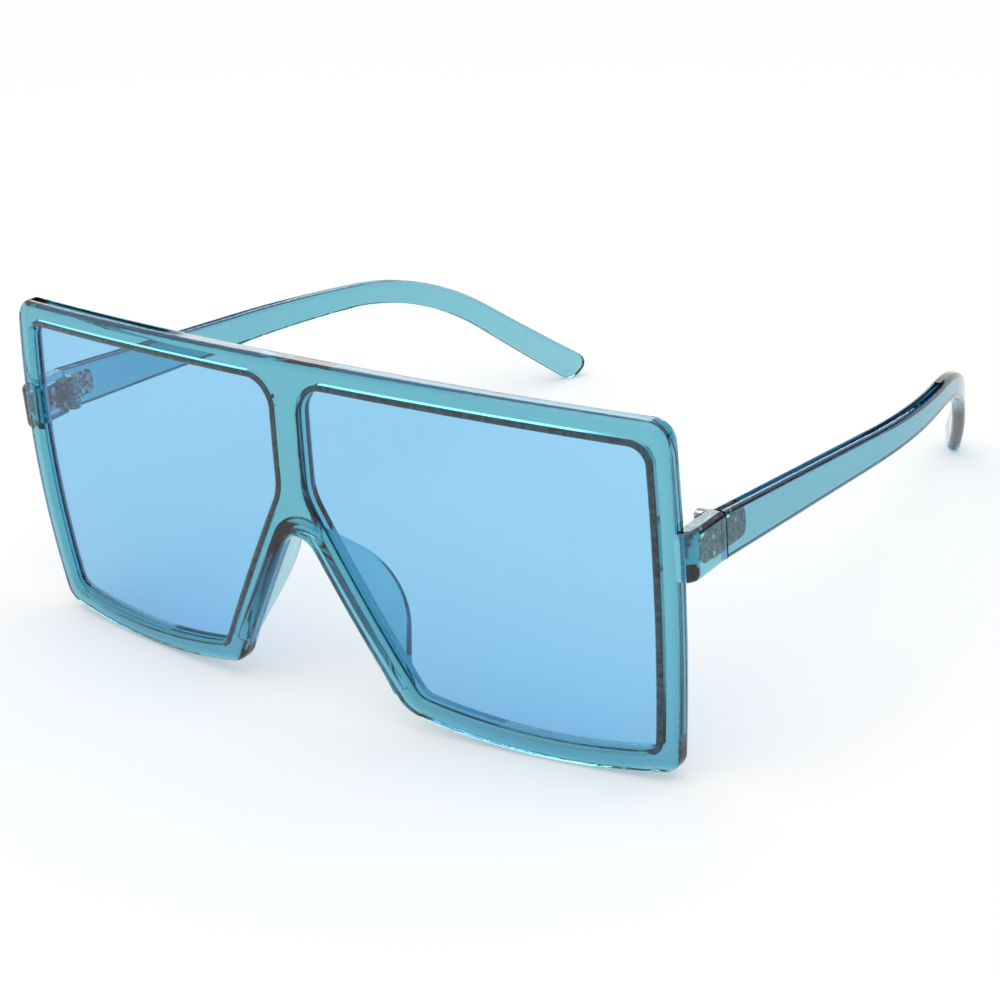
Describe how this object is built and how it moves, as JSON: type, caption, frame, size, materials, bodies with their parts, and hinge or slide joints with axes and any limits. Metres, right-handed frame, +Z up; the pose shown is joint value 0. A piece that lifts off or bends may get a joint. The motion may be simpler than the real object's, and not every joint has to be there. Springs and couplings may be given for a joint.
{
  "type": "sunglasses",
  "caption": "Oversized flat-top square sunglasses with a see-through moulded front, tinted lenses and temples that fold on metal hinges.",
  "frame": {"origin": "on the surface that the open glasses stand on, below the middle of their box", "axes": "+Z up, the front faces -Y, the temples run back along +Y, +X to the right as seen from ahead"},
  "size_m": [0.1514, 0.1556, 0.066],
  "materials": {
    "frame_plastic": "polished translucent grey-teal injection-moulded plastic",
    "temple_plastic": "polished translucent grey-teal injection-moulded plastic",
    "lens_plastic": "clear sky-blue tint, polished",
    "hinge_metal": "nickel-plated, fine brushed",
    "screw_metal": "bright turned steel"
  },
  "bodies": {
    "front": {"front_frame": "frame_plastic", "left_lens": "lens_plastic", "left_front_hinge_leaf": "hinge_metal", "left_hinge_screw": "screw_metal", "left_front_hinge_lower_pin": "screw_metal", "left_front_hinge_upper_pin": "screw_metal", "right_lens": "lens_plastic", "right_front_hinge_leaf": "hinge_metal", "right_hinge_screw": "screw_metal", "right_front_hinge_lower_pin": "screw_metal", "right_front_hinge_upper_pin": "screw_metal"},
    "left_temple": {"left_temple": "temple_plastic", "left_temple_hinge_leaf": "hinge_metal", "left_temple_hinge_lower_pin": "screw_metal", "left_temple_hinge_upper_pin": "screw_metal"},
    "right_temple": {"right_temple": "temple_plastic", "right_temple_hinge_leaf": "hinge_metal", "right_temple_hinge_lower_pin": "screw_metal", "right_temple_hinge_upper_pin": "screw_metal"}
  },
  "joints": [
    {"name": "left_temple_fold", "type": "hinge", "parent": "front", "child": "left_temple", "pos_m": [-0.0711, -0.05857, 0.04185], "axis": [0, 0, -1], "range_deg": [0, 81]},
    {"name": "right_temple_fold", "type": "hinge", "parent": "front", "child": "right_temple", "pos_m": [0.0711, -0.05857, 0.04185], "axis": [0, 0, 1], "range_deg": [0, 75]}
  ]
}
